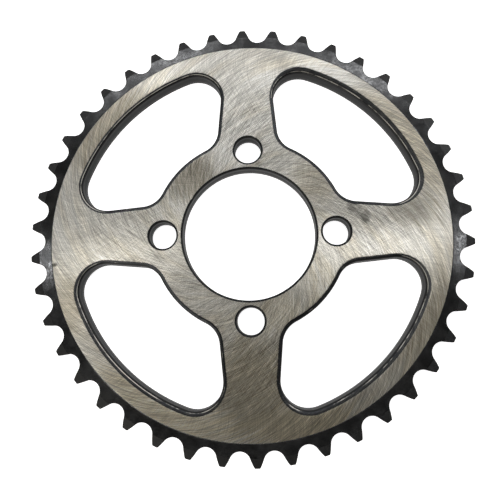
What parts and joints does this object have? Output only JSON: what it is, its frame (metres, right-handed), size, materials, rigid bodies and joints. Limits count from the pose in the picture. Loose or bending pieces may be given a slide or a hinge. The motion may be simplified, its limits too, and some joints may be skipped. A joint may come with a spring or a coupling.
{
  "type": "motorcycle rear sprocket",
  "caption": "Flat steel drive sprocket with a round toothed rim, ground faces, broad spokes, a large centring bore and a ring of hub bolt holes.",
  "frame": {"origin": "centre of the bore on the face that seats on the wheel hub, which is the plate's lower face here", "axes": "+Z along the wheel axis, out of the other ground face; +X through the centre of one bolt hole"},
  "size_m": [0.1742, 0.1744, 0.006],
  "materials": {
    "ground_steel": "ground on both faces with crossing swirl marks, satin",
    "black_oxide": "blackened steel on the teeth, the rim's bevels and the cut edges, semi-matt"
  },
  "bodies": {
    "root": {"sprocket_plate": "ground_steel"}
  },
  "joints": []
}
